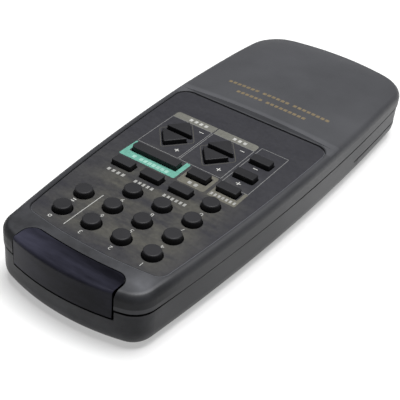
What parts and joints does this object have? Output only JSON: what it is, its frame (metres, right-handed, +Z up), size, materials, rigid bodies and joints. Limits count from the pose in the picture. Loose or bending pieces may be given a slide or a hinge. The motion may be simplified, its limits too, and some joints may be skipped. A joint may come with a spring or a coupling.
{
  "type": "remote control",
  "caption": "Slim two-shell handheld infrared remote with a raised back, a recessed key panel, a wrap-round front window, press keys and a sliding battery door.",
  "frame": {"origin": "on the surface that the remote lies on, under the middle of its outline", "axes": "+Y to the end with the window, +X to the user's right, +Z up through the keys"},
  "size_m": [0.0654, 0.1666, 0.0217],
  "materials": {
    "shell_plastic": "fine moulded grain",
    "panel_film": "satin printed plate",
    "key_plastic": "satin",
    "window_plastic": "gloss, passes infrared only",
    "mat_rubber": "matte silicone",
    "carbon_pad": "printed carbon",
    "board_laminate": "phenolic board",
    "component_black": "moulded",
    "tinned_metal": "tinned",
    "ceramic_blue": "dipped",
    "aluminium_can": "drawn can",
    "resistor_coat": "lacquered",
    "led_clear": "clear, faint blue",
    "cell_can": "plain wrap",
    "contact_steel": "nickel plated",
    "screw_steel": "blackened"
  },
  "bodies": {
    "case": {"upper_shell": "shell_plastic", "lower_shell": "shell_plastic", "face_panel": "panel_film", "ir_window": "window_plastic", "keypad_mat": "mat_rubber", "contact_pads": "carbon_pad", "circuit_board": "board_laminate", "control_chip": "component_black", "chip_legs": "tinned_metal", "resonator": "ceramic_blue", "capacitor": "aluminium_can", "transistor": "component_black", "resistors": "resistor_coat", "infrared_led_left": "led_clear", "infrared_led_right": "led_clear", "cell_front": "cell_can", "cell_rear": "cell_can", "spring_front": "contact_steel", "spring_rear": "contact_steel", "contact_link": "contact_steel", "terminal_positive": "contact_steel", "terminal_negative": "contact_steel", "case_screws": "screw_steel"},
    "key_1": {"key_1": "key_plastic"},
    "key_2": {"key_2": "key_plastic"},
    "key_3": {"key_3": "key_plastic"},
    "key_4": {"key_4": "key_plastic"},
    "key_5": {"key_5": "key_plastic"},
    "key_6": {"key_6": "key_plastic"},
    "key_7": {"key_7": "key_plastic"},
    "key_8": {"key_8": "key_plastic"},
    "key_9": {"key_9": "key_plastic"},
    "key_0": {"key_0": "key_plastic"},
    "key_info": {"key_info": "key_plastic"},
    "key_swap": {"key_swap": "key_plastic"},
    "key_recall": {"key_recall": "key_plastic"},
    "key_timer": {"key_timer": "key_plastic"},
    "key_mute": {"key_mute": "key_plastic"},
    "key_source": {"key_source": "key_plastic"},
    "key_picture": {"key_picture": "key_plastic"},
    "key_standby": {"key_standby": "key_plastic"},
    "key_picture_up": {"key_picture_up": "key_plastic"},
    "key_picture_down": {"key_picture_down": "key_plastic"},
    "key_volume_up": {"key_volume_up": "key_plastic"},
    "key_volume_down": {"key_volume_down": "key_plastic"},
    "key_programme_up": {"key_programme_up": "key_plastic"},
    "key_programme_down": {"key_programme_down": "key_plastic"},
    "battery_door": {"battery_door": "shell_plastic"}
  },
  "joints": [
    {"name": "key_1_press", "type": "slide", "parent": "case", "child": "key_1", "axis": [0, 0, -1], "range_m": [0, 0.001], "stiffness_N_per_m": 800},
    {"name": "key_2_press", "type": "slide", "parent": "case", "child": "key_2", "axis": [0, 0, -1], "range_m": [0, 0.001], "stiffness_N_per_m": 800},
    {"name": "key_3_press", "type": "slide", "parent": "case", "child": "key_3", "axis": [0, 0, -1], "range_m": [0, 0.001], "stiffness_N_per_m": 800},
    {"name": "key_4_press", "type": "slide", "parent": "case", "child": "key_4", "axis": [0, 0, -1], "range_m": [0, 0.001], "stiffness_N_per_m": 800},
    {"name": "key_5_press", "type": "slide", "parent": "case", "child": "key_5", "axis": [0, 0, -1], "range_m": [0, 0.001], "stiffness_N_per_m": 800},
    {"name": "key_6_press", "type": "slide", "parent": "case", "child": "key_6", "axis": [0, 0, -1], "range_m": [0, 0.001], "stiffness_N_per_m": 800},
    {"name": "key_7_press", "type": "slide", "parent": "case", "child": "key_7", "axis": [0, 0, -1], "range_m": [0, 0.001], "stiffness_N_per_m": 800},
    {"name": "key_8_press", "type": "slide", "parent": "case", "child": "key_8", "axis": [0, 0, -1], "range_m": [0, 0.001], "stiffness_N_per_m": 800},
    {"name": "key_9_press", "type": "slide", "parent": "case", "child": "key_9", "axis": [0, 0, -1], "range_m": [0, 0.001], "stiffness_N_per_m": 800},
    {"name": "key_0_press", "type": "slide", "parent": "case", "child": "key_0", "axis": [0, 0, -1], "range_m": [0, 0.001], "stiffness_N_per_m": 800},
    {"name": "key_info_press", "type": "slide", "parent": "case", "child": "key_info", "axis": [0, 0, -1], "range_m": [0, 0.001], "stiffness_N_per_m": 800},
    {"name": "key_swap_press", "type": "slide", "parent": "case", "child": "key_swap", "axis": [0, 0, -1], "range_m": [0, 0.001], "stiffness_N_per_m": 800},
    {"name": "key_recall_press", "type": "slide", "parent": "case", "child": "key_recall", "axis": [0, 0, -1], "range_m": [0, 0.001], "stiffness_N_per_m": 800},
    {"name": "key_timer_press", "type": "slide", "parent": "case", "child": "key_timer", "axis": [0, 0, -1], "range_m": [0, 0.001], "stiffness_N_per_m": 800},
    {"name": "key_mute_press", "type": "slide", "parent": "case", "child": "key_mute", "axis": [0, 0, -1], "range_m": [0, 0.001], "stiffness_N_per_m": 800},
    {"name": "key_source_press", "type": "slide", "parent": "case", "child": "key_source", "axis": [0, 0, -1], "range_m": [0, 0.001], "stiffness_N_per_m": 800},
    {"name": "key_picture_press", "type": "slide", "parent": "case", "child": "key_picture", "axis": [0, 0, -1], "range_m": [0, 0.001], "stiffness_N_per_m": 800},
    {"name": "key_standby_press", "type": "slide", "parent": "case", "child": "key_standby", "axis": [0, 0, -1], "range_m": [0, 0.001], "stiffness_N_per_m": 800},
    {"name": "key_picture_up_press", "type": "slide", "parent": "case", "child": "key_picture_up", "axis": [0, 0, -1], "range_m": [0, 0.001], "stiffness_N_per_m": 800},
    {"name": "key_picture_down_press", "type": "slide", "parent": "case", "child": "key_picture_down", "axis": [0, 0, -1], "range_m": [0, 0.001], "stiffness_N_per_m": 800},
    {"name": "key_volume_up_press", "type": "slide", "parent": "case", "child": "key_volume_up", "axis": [0, 0, -1], "range_m": [0, 0.001], "stiffness_N_per_m": 800},
    {"name": "key_volume_down_press", "type": "slide", "parent": "case", "child": "key_volume_down", "axis": [0, 0, -1], "range_m": [0, 0.001], "stiffness_N_per_m": 800},
    {"name": "key_programme_up_press", "type": "slide", "parent": "case", "child": "key_programme_up", "axis": [0, 0, -1], "range_m": [0, 0.001], "stiffness_N_per_m": 800},
    {"name": "key_programme_down_press", "type": "slide", "parent": "case", "child": "key_programme_down", "axis": [0, 0, -1], "range_m": [0, 0.001], "stiffness_N_per_m": 800},
    {"name": "battery_door_slide", "type": "slide", "parent": "case", "child": "battery_door", "axis": [0, -1, 0], "range_m": [0, 0.045]}
  ]
}
